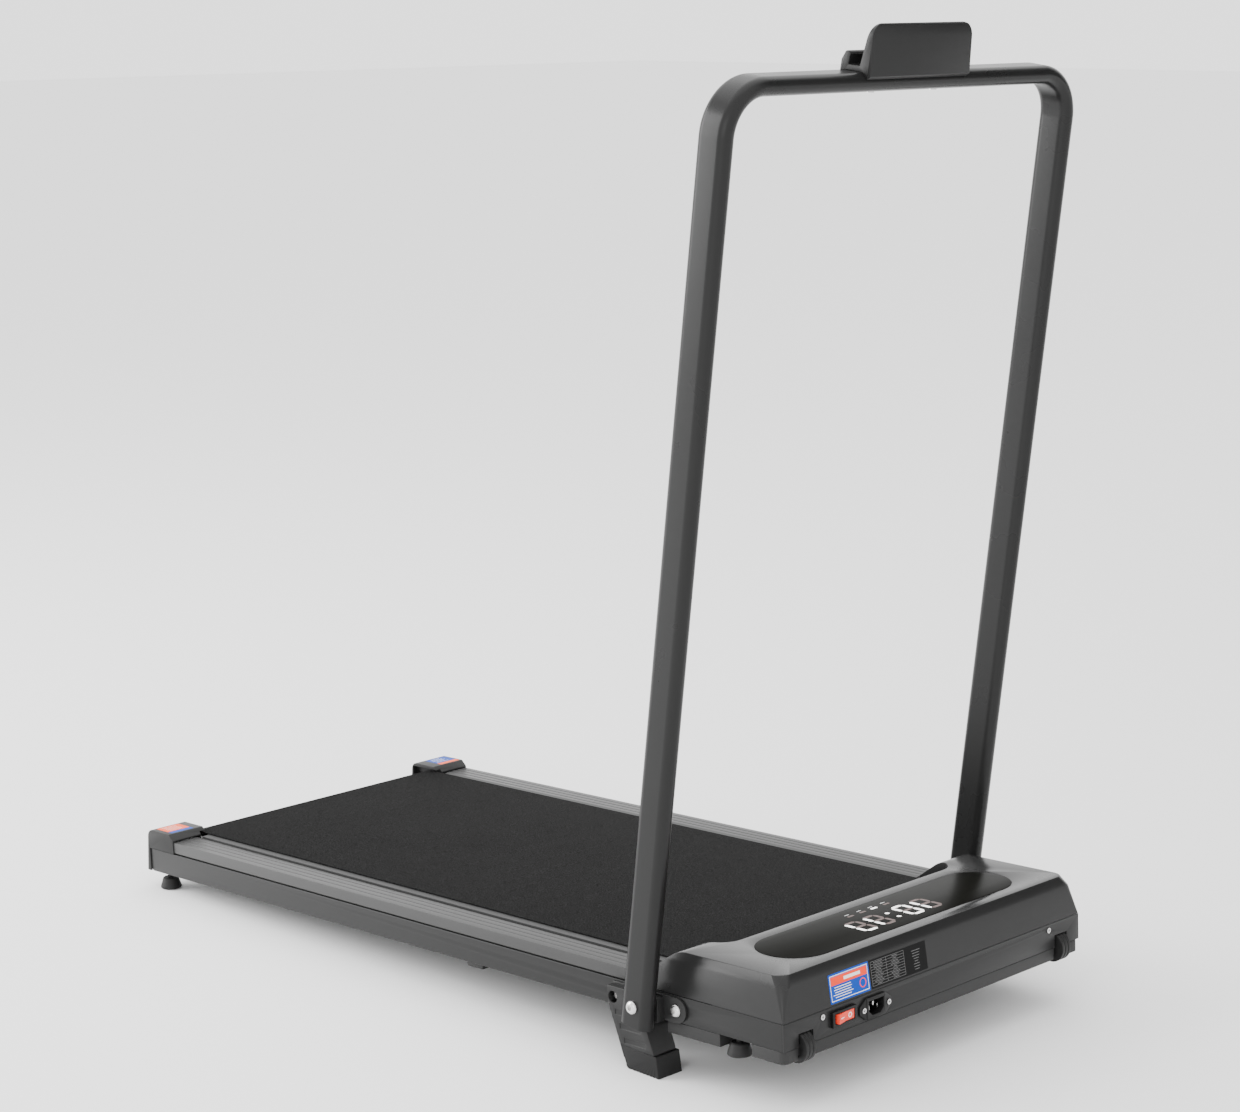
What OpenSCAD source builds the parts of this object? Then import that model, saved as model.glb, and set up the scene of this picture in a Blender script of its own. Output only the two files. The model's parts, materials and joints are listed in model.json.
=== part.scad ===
// Walking-pad treadmill with a fold-down handlebar and two fixed support legs.
// Every sub-part is drawn in the deck's own axes: X across, Y from the motor end
// to the rear roller, Z up from the underside of the steel frame.  placed() then
// sets the deck on the floor, tilted by the height that the support legs give it.

/* [Frame] */
// Width over the steel side rails
frame_w = 500; // [490:1:510]
// Length of the steel frame
frame_l = 1107; // [1095:1:1120]
// Height of the steel frame
frame_h = 29.5; // [28:0.5:31]
// Width of one side rail tube
rail_w = 22; // [20:1:23]
// Wall of the steel tubes
tube_wall = 1.5; // [1:0.1:2.5]

/* [Deck] */
// Width of the running belt
belt_w = 400; // [380:1:404]
// Height of the running surface over the underside of the frame
belt_top = 48.5; // [48:0.5:49]
// Thickness of the running belt
belt_t = 1.8; // [1.4:0.1:2]
// Radius of both rollers
roller_r = 20; // [18:0.5:20.5]
// Front roller, distance from the motor end
front_roller_y = 124; // [122:1:128]
// Rear roller, distance from the motor end
rear_roller_y = 1071; // [1066:1:1073]
// Height of the foot rails over the underside of the frame
foot_rail_top = 45; // [43:0.5:46]
// Width of a foot rail
foot_rail_w = 36.5; // [34:0.5:37]

/* [Hood] */
// Height of the hood's flat top over the underside of the frame
hood_top = 75.7; // [74:0.1:78]
// Length of the hood's flat top, back to the belt
hood_back = 132; // [130:1:134]
// Length of the display lens
lens_l = 386; // [360:1:390]
// Width of the display lens
lens_w = 86; // [70:1:88]

/* [Handlebar] */
// Distance between the centres of the two uprights
upright_gap = 544.2; // [543.4:0.2:546]
// Thickness of the flat-oval tube
bar_t = 20; // [18:0.5:21]
// Depth of the flat-oval tube
bar_d = 40; // [36:1:42]
// Radius of the two bends, to the middle of the tube
bend_r = 50; // [40:1:60]
// Distance from the pivot to the middle of the top bar
bar_reach = 973; // [900:1:1000]
// Forward lean of the uprights from the deck's normal
bar_lean = 9.66; // [4:0.1:15]
// Pivot, distance from the motor end
pivot_y = 187.2; // [185:0.2:190]
// Pivot, height over the underside of the frame
pivot_z = 17.8; // [15:0.2:20]

/* [Stand] */
// Angle of the deck to the floor
incline = 2.6; // [1:0.1:4]
// Depth of the support legs under the frame, at their front edge
leg_depth = 64.7; // [60:0.1:70]
// Radius of a levelling foot
foot_r = 13.5; // [12:0.5:14]
// Radius of a transport wheel
wheel_r = 17; // [15:0.5:18]

/* [Holder] */
// Width of the device holder
holder_w = 159; // [120:1:180]
// Height of its back panel over the middle of the bar
holder_h = 56; // [45:1:70]

/* [Hidden] */
$fn = 64;
EPS = 0.01;
half_w = frame_w / 2;
rail_in = half_w - rail_w;
roller_z = belt_top - belt_t - roller_r - 0.3;
belt_in = roller_r + 0.3;
belt_out = belt_in + belt_t;
deck_top = roller_z + belt_in;
deck_t = 12;
seam = 2;
panel_t = 2;
axle_r = 6;
fit = 0.05;
rail_out = half_w - 0.3;
rail_base = frame_h + seam;
foot_rail_y0 = 200.5;
cap_y0 = 1055.5;
cap_y1 = 1115;
cap_top = 54.8;
cap_x0 = 197.5;
cap_x1 = 251;
motor_y = 62;
motor_z = 30;
motor_r = 32;
pulley_r = 30;
motor_pulley_r = 13;
pulley_x0 = 207;
pulley_x1 = 221;
wheel_y = 9;
wheel_z = -2.5;
wheel_x0 = 209.5;
wheel_x1 = 224.5;
foot_x = 235;
foot_front_y = 77;
foot_rear_y = 1088;
stem_r = 3.5;
leg_out = 262;
leg_in = 228;
plate_t = 3;
leg_front_y = 171.2;
bolt_a = [238, 13.5];
bolt_b = [151, 14];
inlet_x = -108;
inlet_z = 13.6;
switch_x = -159;
switch_z = 16;
// Height that lifts the front edge of the legs' soles onto the floor
lift = leg_front_y * sin(incline) + leg_depth * cos(incline);
// Underside of the feet, so that the rear feet meet the floor at their back edge
foot_z = ((foot_rear_y + foot_r) * sin(incline) - lift) / cos(incline);
// Middle of the footprint
front_reach = wheel_y * cos(incline) + wheel_z * sin(incline) - wheel_r;
rear_reach = cap_y1 * cos(incline);
mid_y = (front_reach + rear_reach) / 2;

// Sets the deck on the floor, over the middle of its footprint
module placed()
    translate([0, -mid_y, lift]) rotate([-incline, 0, 0]) children();

// Draws its children on the side s: -1 is the left of the frame, 1 the right
module side(s)
    if (s < 0) mirror([1, 0, 0]) children(); else children();

module both_sides() { side(-1) children(); side(1) children(); }

// A box from one corner to the other
module span(a, b) translate(a) cube(b - a);

// A cylinder along X, from x0 to x1, round the line through y and z
module rod(x0, x1, y, z, r)
    translate([x0, y, z]) rotate([0, 90, 0]) cylinder(h = x1 - x0, r = r);

// A cylinder along Y
module rod_y(y0, y1, x, z, r)
    translate([x, y0, z]) rotate([-90, 0, 0]) cylinder(h = y1 - y0, r = r);

// A YZ outline drawn from x0 to x1
module slab(x0, x1)
    translate([x0, 0, 0]) rotate([90, 0, 90]) linear_extrude(x1 - x0) children();

// Points on an arc
function arc(c, r, a0, a1, n) =
    [for (i = [0:n]) c + r * [cos(a0 + (a1 - a0) * i / n), sin(a0 + (a1 - a0) * i / n)]];

// ---------- steel frame ----------
module side_rail(s) color("#5c5e61") side(s) difference() {
    span([rail_in, panel_t, 0], [half_w, frame_l - plate_t, frame_h]);
    span([rail_in + tube_wall, panel_t - 1, tube_wall],
         [half_w - tube_wall, frame_l, frame_h - tube_wall]);
    for (b = [bolt_a, bolt_b]) rod(half_w - 3, half_w + 1, b[0], b[1], 4 + fit);
    for (y = [foot_front_y, foot_rear_y])
        translate([foot_x, y, -1]) cylinder(h = 4, r = stem_r + 0.3);
}
module side_rail_left() side_rail(-1);
module side_rail_right() side_rail(1);

module front_panel() color("#56585b") difference() {
    span([-half_w, 0, 0], [half_w, panel_t, frame_h]);
    span([switch_x - 16.5, -1, switch_z - 7], [switch_x + 16.5, panel_t + 1, switch_z + 7]);
    span([inlet_x - 13.7, -1, inlet_z - 10.2], [inlet_x + 13.7, panel_t + 1, inlet_z + 10.2]);
    both_sides() span([wheel_x0 - 4.5, -1, -1], [wheel_x1 + 3, panel_t + 1, 14]);
    for (x = [-20, 20]) rod_y(-1, panel_t + 1, inlet_x + x, inlet_z, 1.6);
    for (x = [-191, 193]) rod_y(-1, panel_t + 1, x, 23, 1.6);
}

module rear_crossbar() color("#4c4e50") difference() {
    span([-half_w + 0.5, frame_l - plate_t, 0.5], [half_w - 0.5, frame_l - 0.5, frame_h]);
    both_sides() rod_y(frame_l - 9, frame_l + 1, 216, roller_z, 4 + fit);
}

// Three box tubes between the two runs of the belt, welded to the side rails
module cross_members() color("#4c4e50") for (y = [205, 610, 1015]) difference() {
    span([-rail_in, y, 8], [rail_in, y + 30, 28]);
    span([-rail_in - 1, y + tube_wall, 8 + tube_wall], [rail_in + 1, y + 30 - tube_wall, 28 - tube_wall]);
}

module bottom_brace() color("#3c3d3f")
    span([-half_w + 1, 464, -5], [half_w - 1, 490, 0]);

// ---------- foot rails and caps ----------
module foot_rail(s) color("#6a6c6f") side(s) {
    x0 = rail_out - foot_rail_w;
    difference() {
        span([x0, foot_rail_y0, rail_base], [rail_out, cap_y0 + 1, foot_rail_top]);
        span([x0 + 2.5, foot_rail_y0 - 1, rail_base + 2], [rail_out - 2.5, frame_l, foot_rail_top - 3]);
        for (i = [1:3]) translate([x0 + i * foot_rail_w / 4, 0, foot_rail_top])
            rotate([0, 45, 0]) translate([-0.7, foot_rail_y0 - 1, -0.7]) cube([1.4, frame_l, 1.4]);
    }
    span([rail_in + 3, foot_rail_y0, frame_h], [rail_out - 3, cap_y0 + 1, rail_base]);
}
module foot_rail_left() foot_rail(-1);
module foot_rail_right() foot_rail(1);

// Side outline of a rear cap, d inside its outer face
function cap_outline(d) = concat(
    [[cap_y1 - d, 0], [cap_y1 - 4.5 - d, 44.8]],
    arc([cap_y1 - 14.5, 44.8], 10 - d, 0, 90, 8),
    [[cap_y0 + 8 + d * 0.5, cap_top - d], [cap_y0 + d, cap_top - 7.5 - d * 0.4], [cap_y0 + d, 0]]);

module rear_cap(s) color("#5a5c5f") side(s) difference() {
    slab(cap_x0, cap_x1) polygon(cap_outline(0));
    slab(cap_x0 + 11, cap_x1 - 2.2) polygon(concat([[cap_y1 - 2.3, -1]], cap_outline(2.4), [[cap_y0 + 2.4, -1]]));
    // the frame, the roller's end with its axle, and the end of the foot rail
    span([cap_x0 - 1, cap_y0 - 1, -1], [cap_x1 + 1, frame_l + 0.3, frame_h + 0.5]);
    span([cap_x0 - 1, cap_y0 - 1, -1], [206, frame_l + 0.3, 50.3]);
    span([205, cap_y0 - 1, -1], [cap_x1 - 2.2, frame_l + 0.3, 40.5]);
    span([205, cap_y0 - 1, -1], [rail_out + EPS, cap_y0 + 3, foot_rail_top + 0.3]);
    rod_y(frame_l, cap_y1 + 1, 216, roller_z, 8);
}
module rear_cap_left() rear_cap(-1);
module rear_cap_right() rear_cap(1);

// ---------- motor hood ----------
hood_z0 = frame_h + 0.5;
hood_mid = 64.5;
// One horizontal slice of the hood, d inside its outer face
module hood_slice(z, hw, y0, r, d) translate([0, 0, z]) linear_extrude(EPS) {
    for (s = [-1, 1]) translate([s * (hw - d - r), y0 + d + r]) circle(r, $fn = 48);
    for (s = [-1, 1]) translate([s * (hw - d - 1), 199]) circle(1, $fn = 12);
}
module hood_body(d) hull() {
    hood_slice(hood_z0 - (d > 0 ? 1 : 0), half_w, 0, 1.2, d);
    hood_slice(hood_mid - d * 0.5, 244.5, 4.5, 11, d);
    hood_slice(hood_top - d, 240, 10.9, 15, d);
}
// Side outline of the hood: flat top, then a curve down to the foot rails
ear_y = 146;
ear_r = 36;
ear_a = 36;
module ear_outline(d) polygon(concat(
    [[-1, hood_z0 - 2], [-1, hood_top - d]],
    [for (p = arc([ear_y, hood_top - ear_r], ear_r - d, 90, 90 - ear_a, 8)) p],
    [[200 - d, foot_rail_top + 0.5 - d * 0.6], [200 - d, hood_z0 - 2]]));
// The bay at the back of the hood, which the belt runs out of
module hood_bay(grow, z0, z1) translate([0, 0, z0]) linear_extrude(z1 - z0) {
    w = 197 - grow;
    r = 27 - grow;
    y0 = hood_back + grow;
    for (s = [-1, 1]) translate([s * (w - r), y0 + r]) circle(r);
    translate([-w + r, y0]) square([2 * (w - r), 200]);
    translate([-w, y0 + r]) square([2 * w, 200]);
}
module hood_shell() difference() {
    intersection() {
        hood_body(0);
        slab(-half_w - 1, half_w + 1) ear_outline(0);
    }
    hood_bay(0, hood_z0 - 5, hood_top + 5);
    difference() {
        intersection() {
            hood_body(2.5);
            slab(-half_w - 1, half_w + 1) ear_outline(2.5);
        }
        hood_bay(-2.5, hood_z0 - 5, hood_top + 5);
    }
    // room for the belt and its front roller under the back wall
    span([-205, hood_back - 6, hood_z0 - 5], [205, 201, 51]);
    // window of the display lens
    lens_plate(lens_l + 0.6, lens_w + 0.6, hood_top - 3.2, 5);
}
module motor_hood() color("#6e7073") {
    hood_shell();
    // ledge that the lens rests on
    difference() {
        lens_plate(lens_l + 8, lens_w + 8, hood_top - 5, 2.6);
        lens_plate(lens_l - 8, lens_w - 8, hood_top - 6, 5);
    }
}

// ---------- display ----------
lens_y = 72;
module lens_plate(l, w, z, h) translate([0, lens_y, z]) {
    for (s = [-1, 1]) translate([s * (l - w) / 2, 0, 0]) cylinder(h = h, r = w / 2);
    translate([-(l - w) / 2, -w / 2, 0]) cube([l - w, w, h]);
}
module display_lens() color("#1f1f1b") {
    lens_plate(lens_l, lens_w, hood_top - 2.4, 2.6);
    // two rails under the lens carry the display board
    for (y = [-1, 1]) span([-80, lens_y + y * 26 - 2, hood_top - 7], [80, lens_y + y * 26 + 2, hood_top - 2.4]);
}
module display_board() {
    color("#1d5a38") span([-85, lens_y - 28, hood_top - 8.5], [85, lens_y + 28, hood_top - 7]);
    color("#d8d4cc") span([-72, lens_y - 22, hood_top - 7], [72, lens_y + 22, hood_top - 2.5]);
}

// ---------- bottom pan ----------
pan_depth = 14;
pan_l = 200;
module pan_block(d, z0, z1) translate([0, 0, z0]) linear_extrude(z1 - z0) {
    for (s = [-1, 1]) translate([s * (half_w - 0.3 - 8), 8.3]) circle(8 - d);
    translate([-half_w + 8.3, 0.3 + d]) square([frame_w - 16.6, 20]);
    translate([-half_w + 0.3 + d, 8.3]) square([frame_w - 0.6 - 2 * d, pan_l - 8.3 - d]);
}
module bottom_pan() color("#595b5e") difference() {
    pan_block(0, -pan_depth, -0.3);
    difference() {
        pan_block(2.5, -pan_depth + 2.5, 1);
        both_sides() {
            span([wheel_x0 - 8.7, 0, -pan_depth], [half_w, 29, 1]);
            span([foot_x - 21, foot_front_y - 33, -pan_depth], [half_w, foot_front_y + 16.7, 1]);
            span([leg_in - 3, 166, -pan_depth], [half_w, pan_l, 1]);
        }
    }
    both_sides() {
        span([wheel_x0 - 6.2, -1, -pan_depth - 1], [wheel_x1 + 4, 26.5, 1]);
        span([foot_x - 18.5, foot_front_y - 31, -pan_depth - 1], [half_w + 1, foot_front_y + 14.2, 1]);
        span([leg_in - 0.5, 168, -pan_depth - 1], [half_w + 1, pan_l + 1, 1]);
    }
}

// ---------- deck, belt and rollers ----------
// The board is narrower at its front end, where it passes between the hood's walls
module deck_board() color("#2a2a2a") {
    span([-204.5, front_roller_y + 34, deck_top - deck_t], [204.5, foot_rail_y0 + 1, deck_top]);
    span([-211, foot_rail_y0 + 0.5, deck_top - deck_t], [211, rear_roller_y - belt_in - 4, deck_top]);
}

module deck_cushions() color("#202020")
    for (x = [-150, 0, 150]) for (y = [220, 625, 1030])
        translate([x, y, 28]) cylinder(h = deck_top - deck_t - 28, r = 11);

module running_belt() color("#2b2b2b") difference() {
    union() {
        for (y = [front_roller_y, rear_roller_y]) rod(-belt_w / 2, belt_w / 2, y, roller_z, belt_out);
        span([-belt_w / 2, front_roller_y, roller_z - belt_out], [belt_w / 2, rear_roller_y, roller_z + belt_out]);
    }
    for (y = [front_roller_y, rear_roller_y]) rod(-belt_w, belt_w, y, roller_z, belt_in);
    span([-belt_w, front_roller_y, roller_z - belt_in], [belt_w, rear_roller_y, roller_z + belt_in]);
}

module roller(y) difference() {
    rod(-204, 204, y, roller_z, roller_r);
    rod(-188, 188, y, roller_z, roller_r - 2);
    rod(-205, 205, y, roller_z, 8);
    both_sides() rod(195, 205, y, roller_z, 14);
}
module front_roller() color("#8d9093") roller(front_roller_y);
module rear_roller() color("#8d9093") roller(rear_roller_y);

module bearings(y) color("#b9bcc0") both_sides() difference() {
    rod(195, 203, y, roller_z, 14);
    rod(194, 204, y, roller_z, axle_r + fit);
}
module front_roller_bearings() bearings(front_roller_y);
module rear_roller_bearings() bearings(rear_roller_y);

module front_axle() color("#a5a8ab") rod(-226, 226, front_roller_y, roller_z, axle_r);
module rear_axle() color("#a5a8ab") rod(-226, 226, rear_roller_y, roller_z, axle_r);

module axle_brackets() color("#6b6d70") both_sides() for (y = [front_roller_y, rear_roller_y])
    difference() {
        span([224, y - 12, 4], [rail_in, y + 12, 40]);
        rod(223, rail_in + 1, y, roller_z, axle_r + fit);
    }

module tension_bolts() color("#b9bcc0") both_sides() {
    rod_y(rear_roller_y + axle_r, frame_l - 0.5, 216, roller_z, 4);
    difference() {
        rod_y(frame_l - 0.5, frame_l + 4, 216, roller_z, 6.5);
        translate([216, frame_l + 1.5, roller_z]) rotate([-90, 0, 0]) cylinder(h = 4, r = 3, $fn = 6);
    }
}

// ---------- drive ----------
// A pulley with shallow ribs between two flanges
module pulley(y, z, r, bore) difference() {
    union() {
        rod(pulley_x0, pulley_x1, y, z, r - 1.5);
        rod(pulley_x0, pulley_x0 + 1.5, y, z, r);
        rod(pulley_x1 - 1.5, pulley_x1, y, z, r);
    }
    rod(pulley_x0 - 1, pulley_x1 + 1, y, z, bore);
}
module roller_pulley() color("#3a3b3d") union() {
    pulley(front_roller_y, roller_z, pulley_r, 8);
    difference() {
        rod(204, pulley_x0 + 1, front_roller_y, roller_z, 17);
        rod(203, pulley_x0 + 2, front_roller_y, roller_z, 8);
    }
}
module motor_pulley() color("#8d9093") pulley(motor_y, motor_z, motor_pulley_r, 5 + fit);
module motor_shaft() color("#b9bcc0") union() {
    rod(58, pulley_x1 + 1, motor_y, motor_z, 5);
    rod(70, 172, motor_y, motor_z, 20);
}
module motor_body() color("#303133") difference() {
    rod(62, 182, motor_y, motor_z, motor_r);
    rod(67, 177, motor_y, motor_z, 20.5);
    rod(57, 183, motor_y, motor_z, 5 + fit);
}
module motor_bracket() color("#6b6d70") difference() {
    union() {
        span([52, 22, -pan_depth + 2.5], [192, 102, -pan_depth + 5.5]);
        for (x = [72, 156]) span([x, motor_y - 24, -pan_depth + 5.5], [x + 16, motor_y + 24, 12]);
    }
    rod(50, 194, motor_y, motor_z, motor_r);
}
// Ribbed belt round both pulleys, 0.3 mm clear of their faces
drive_in = 0.3;
drive_gap = norm([front_roller_y - motor_y, roller_z - motor_z]);
drive_tilt = atan2(roller_z - motor_z, front_roller_y - motor_y);
drive_flare = asin((pulley_r - motor_pulley_r) / drive_gap);
module drive_loop(d) polygon([for (p = concat(
    arc([0, 0], motor_pulley_r - 1.5 + d, 90 + drive_flare, 270 - drive_flare, 24),
    arc([drive_gap, 0], pulley_r - 1.5 + d, -90 - drive_flare, 90 + drive_flare, 48))) p]);
module drive_belt() color("#191919")
    translate([0, motor_y, motor_z]) rotate([drive_tilt, 0, 0]) slab(209, 219) difference() {
        drive_loop(drive_in + 1.8);
        drive_loop(drive_in);
    }

module controller_board() {
    color("#1d5a38") span([-200, 40, -6], [20, 104, -4.4]);
    color("#b9bcc0") for (x = [-190, 10]) for (y = [48, 96])
        translate([x, y, -pan_depth + 2.5]) cylinder(h = pan_depth - 8.5, r = 4);
    color("#2b2b2b") for (x = [-165, -130, -95]) translate([x, 60, -4.4]) cylinder(h = 28, r = 11);
    color("#c9a14a") span([-60, 48, -4.4], [-30, 72, 18]);
}
module controller_heatsink() color("#a5a8ab") {
    span([-70, 80, -4.4], [14, 84, 30]);
    for (i = [0:9]) span([-70 + i * 9, 84, -4.4], [-68 + i * 9, 97, 30]);
}

// ---------- inlet and switch ----------
module power_inlet() color("#333436") difference() {
    union() {
        span([inlet_x - 15, -3, inlet_z - 12], [inlet_x + 15, 0, inlet_z + 12]);
        translate([inlet_x, 0, inlet_z]) rotate([90, 0, 0]) linear_extrude(2.2)
            polygon([[-26, -4], [-26, 4], [-15, 12], [15, 12], [26, 4], [26, -4], [15, -12], [-15, -12]]);
        span([inlet_x - 13.4, 0, inlet_z - 10], [inlet_x + 13.4, 24, inlet_z + 10]);
    }
    // socket, with two cut corners
    translate([inlet_x, 18, inlet_z]) rotate([90, 0, 0]) linear_extrude(22)
        polygon([[-12, 8], [12, 8], [12, -3], [6.5, -8], [-6.5, -8], [-12, -3]]);
    for (x = [-20, 20]) rod_y(-4, 1, inlet_x + x, inlet_z, 1.6);
}
module inlet_pins() color("#c8cacc") for (p = [[0, 2.6], [-7, -1.4], [7, -1.4]])
    span([inlet_x + p[0] - 1, 2, inlet_z + p[1] - 2], [inlet_x + p[0] + 1, 30, inlet_z + p[1] + 2]);

module pan_head(x, z, y, r) {
    rod_y(y - 1.6, y, x, z, r);
    rod_y(y, y + 5, x, z, 1.5);
}
module panel_screws() color("#d5d7d9") {
    for (x = [-20, 20]) pan_head(inlet_x + x, inlet_z, -2.2, 2.9);
    for (x = [-191, 193]) pan_head(x, 23, 0, 3);
}

rocker_d = 4;
module switch_body() color("#232425") difference() {
    union() {
        span([switch_x - 19, -rocker_d, switch_z - 8.5], [switch_x + 19, 0, switch_z + 8.5]);
        span([switch_x - 16.3, 0, switch_z - 6.8], [switch_x + 16.3, 22, switch_z + 6.8]);
    }
    span([switch_x - 15.3, -rocker_d - 1, switch_z - 5.6], [switch_x + 15.3, 10, switch_z + 5.6]);
    translate([switch_x, 6, switch_z - 6.4]) cylinder(h = 12.8, r = 1.2 + fit);
}
// The rocker turns about an upright pin, drawn pressed on its right end
module switch_rocker() color("#e8402e") translate([switch_x, 6, switch_z]) rotate([0, 0, 7]) {
    translate([0, 0, -5.2]) linear_extrude(10.4)
        polygon([[-13.6, -11.2], [0, -9.8], [13.6, -11.2], [13.6, -5], [4, 2.2], [-4, 2.2], [-13.6, -5]]);
    translate([0, 0, -6.2]) cylinder(h = 12.4, r = 1.2);
}

// ---------- wheels and feet ----------
module wheel(s) color("#1c1c1d") side(s) difference() {
    union() {
        rod(wheel_x0, wheel_x1, wheel_y, wheel_z, wheel_r - 0.8);
        for (x = [wheel_x0, (wheel_x0 + wheel_x1) / 2 - 2, wheel_x1 - 4])
            rod(x, x + 4, wheel_y, wheel_z, wheel_r);
    }
    rod(wheel_x0 - 1, wheel_x1 + 1, wheel_y, wheel_z, 4 + fit);
    rod(wheel_x1 - 2, wheel_x1 + 1, wheel_y, wheel_z, 11);
}
module wheel_left() wheel(-1);
module wheel_right() wheel(1);
module wheel_axles() color("#b9bcc0") both_sides() rod(203.5, rail_in, wheel_y, wheel_z, 4);
module wheel_brackets() color("#4c4e50") both_sides() for (x = [203.5, rail_in - 2.5])
    difference() {
        span([x, panel_t, -9], [x + 2.5, 24, 22]);
        rod(x - 1, x + 4, wheel_y, wheel_z, 4 + fit);
    }

module foot(s, y) side(s) translate([foot_x, y, foot_z]) {
    color("#1c1c1d") rotate_extrude($fn = 64)
        polygon([[0, 0], [foot_r - 1, 0], [foot_r, 1.2], [foot_r - 0.3, 3],
                 [foot_r - 3.5, 13], [foot_r - 5, 14.2], [0, 14.2]]);
    color("#c8cacc") translate([0, 0, 14.2]) cylinder(h = frame_h - tube_wall - 0.3 - foot_z - 14.2, r = stem_r);
}
module foot_front_left() foot(-1, foot_front_y);
module foot_front_right() foot(1, foot_front_y);
module foot_rear_left() foot(-1, foot_rear_y);
module foot_rear_right() foot(1, foot_rear_y);
module foot_nuts() color("#8d9093") both_sides() for (y = [foot_front_y, foot_rear_y])
    difference() {
        translate([foot_x, y, tube_wall]) cylinder(h = 7, r = 5.4, $fn = 6);
        translate([foot_x, y, tube_wall - 1]) cylinder(h = 9, r = stem_r + fit);
    }

// ---------- handlebar ----------
// Draws its children in the handlebar's own axes, with the pivot at the origin
module on_bar() translate([0, pivot_y, pivot_z]) rotate([bar_lean, 0, 0]) children();

// Flat-oval section, t across X and d across Y
module oval(t, d) {
    square([t, d - t], center = true);
    for (s = [-1, 1]) translate([0, s * (d - t) / 2]) circle(t / 2);
}
up_x = upright_gap / 2;
bar_end = -23;
// The bent tube, w under its outer face
module bar_tube(w) {
    t = bar_t - 2 * w;
    d = bar_d - 2 * w;
    over = w > 0 ? 1 : 0;
    for (s = [-1, 1]) {
        translate([s * up_x, 0, bar_end - over]) linear_extrude(bar_reach - bend_r - bar_end + over) oval(t, d);
        translate([s * (up_x - bend_r), 0, bar_reach - bend_r]) rotate([90, 0, 0]) mirror([s < 0 ? 1 : 0, 0, 0])
            rotate_extrude(angle = 90) translate([bend_r, 0]) oval(t, d);
    }
    translate([-up_x + bend_r, 0, bar_reach]) rotate([0, 90, 0]) linear_extrude(2 * (up_x - bend_r)) oval(t, d);
}
module handlebar() color("#5f6164") on_bar() difference() {
    bar_tube(0);
    bar_tube(tube_wall);
    rod(-up_x - 20, -up_x + 20, 0, 0, 7);
    rod(up_x - 20, up_x + 20, 0, 0, 7);
    holder_screw_hole(holder_screw_r + fit);
}
module handlebar_plugs() color("#1c1c1d") on_bar() for (s = [-1, 1])
    translate([s * up_x, 0, bar_end]) linear_extrude(12) oval(bar_t - 2 * tube_wall, bar_d - 2 * tube_wall);
module pivot_bushings() color("#8d9093") on_bar() for (s = [-1, 1]) difference() {
    rod(s * up_x - bar_t / 2, s * up_x + bar_t / 2, 0, 0, 7);
    rod(s * up_x - bar_t, s * up_x + bar_t, 0, 0, 5 + fit);
}

// Button-head screw along X with its head's seat at x
module button_bolt(x, y, z, shank, l, head) translate([x, y, z]) rotate([0, 90, 0]) difference() {
    rotate_extrude($fn = 64) polygon(concat(
        [[0, -l], [shank, -l], [shank, 0], [head, 0], [head, head * 0.12]],
        [for (a = [15, 35, 55, 70]) [head * (0.42 + 0.58 * cos(a)), head * (0.12 + 0.5 * sin(a))]],
        [[0, head * 0.62]]));
    translate([0, 0, head * 0.2]) cylinder(h = head, r = shank * 0.6, $fn = 6);
}
module pivot_bolts() color("#c8cacc") both_sides()
    button_bolt(up_x + bar_t / 2 + 0.3, pivot_y, pivot_z, 5, 29, 7.4);

// ---------- brackets, legs and boots ----------
module bracket_plate(s) color("#5c5e61") side(s) difference() {
    union() {
        span([half_w, 151, 0], [half_w + plate_t, 246, 28]);
        rod(half_w, half_w + plate_t, bolt_b[0], bolt_b[1], 14);
    }
    for (b = [bolt_a, bolt_b]) rod(half_w - 1, half_w + plate_t + 1, b[0], b[1], 4 + fit);
}
module bracket_plate_left() bracket_plate(-1);
module bracket_plate_right() bracket_plate(1);

// Side outlines of the leg, d inside its outer face: over and under the frame's lower edge
module leg_upper(d) polygon([[246 - d, 25.5 - d], [245 - d, 6], [243 - d, -1], [170 + d, -1], [170 + d, 25.5 - d]]);
module leg_lower(d) polygon([
    [243 - d, -0.5], [224.5 - d, -51], [176.5 + d, -52], [179.5 + d, -36], [190 + d, -10], [184 + d, -0.5]]);
leg_wall = 2.5;
module support_leg(s) color("#5c5e61") side(s) difference() {
    union() {
        slab(half_w + plate_t, leg_out) leg_upper(0);
        slab(leg_in, leg_out) leg_lower(0);
    }
    slab(half_w, leg_out - leg_wall) leg_upper(leg_wall);
    slab(leg_in + leg_wall, leg_out - leg_wall) leg_lower(leg_wall);
    span([leg_in, 180, -0.4], [half_w + plate_t, 250, 2]);
    rod(leg_out - 4, leg_out + 1, pivot_y, pivot_z, 5 + fit);
    rod(half_w, leg_out + 1, bolt_a[0], bolt_a[1], 6.6);
    for (i = [0:2]) leg_groove(i);
}
// Three pressed grooves across the leg's outer face
module leg_groove(i)
    span([leg_out - 0.8, 203 - i * 6.2, -5 - i * 15], [leg_out + 1, 235 - i * 6.2, 1 - i * 15]);
module support_leg_left() support_leg(-1);
module support_leg_right() support_leg(1);

sole_slope = tan(incline);
function sole(y) = -leg_depth + (y - leg_front_y) * sole_slope;
module leg_boot(s) color("#2c2d2f") side(s) difference() {
    slab(leg_in - 1, leg_out + 0.6) polygon(concat(
        [[leg_front_y, sole(leg_front_y)], [174.6, -40.5], [228.4, -38], [220.3, -58]],
        arc([215.5, sole(215.5) + 5.5], 5.5, -10, -90, 4)));
    slab(leg_in, leg_out) leg_lower(0);
    // cross grooves in the sole
    for (i = [0:7]) translate([leg_in - 2, 176 + i * 5, sole(176 + i * 5) - 1])
        cube([leg_out - leg_in + 4, 1.8, 2.2]);
}
module leg_boot_left() leg_boot(-1);
module leg_boot_right() leg_boot(1);

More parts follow.
